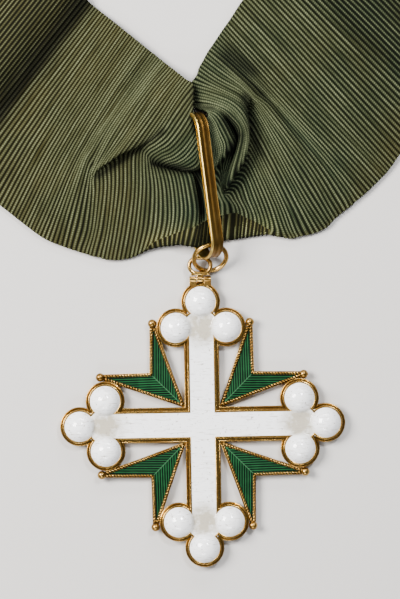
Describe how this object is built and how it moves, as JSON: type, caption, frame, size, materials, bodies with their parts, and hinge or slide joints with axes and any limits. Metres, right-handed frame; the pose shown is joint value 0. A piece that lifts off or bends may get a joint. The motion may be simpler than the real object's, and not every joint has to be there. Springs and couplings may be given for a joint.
{
  "type": "order neck badge",
  "caption": "Enamelled trefoil cross over a green eight-pointed cross, hinged to an oval eye and hung by a ring and a long flat bail from a wide neck ribbon.",
  "frame": {"origin": "middle of the flat back of the cross, which lies on the floor", "axes": "+Z out of the cross's face, +Y along the cross's long arm towards the hinge and ribbon, +X to the right as the face is seen"},
  "size_m": [0.216, 0.1818, 0.0078],
  "materials": {
    "gold": "polished gilt, slightly worn",
    "white_enamel": "glossy glass enamel",
    "green_enamel": "translucent glossy glass enamel over engraved lines",
    "ribbon_silk": "ribbed matte silk"
  },
  "bodies": {
    "suspension": {"neck_ribbon": "ribbon_silk", "ribbon_clasp": "gold", "ribbon_bail": "gold", "jump_ring": "gold", "suspension_eye": "gold"},
    "cross": {"cross_frame": "gold", "white_enamel": "white_enamel", "green_enamel_1": "green_enamel", "green_enamel_2": "green_enamel", "green_enamel_3": "green_enamel", "green_enamel_4": "green_enamel", "hinge_pin": "gold"}
  },
  "joints": [
    {"name": "cross_hinge", "type": "hinge", "parent": "suspension", "child": "cross", "pos_m": [0, 0.02795, 0.00195], "axis": [-1, 0, 0], "range_deg": [0, 75]}
  ]
}
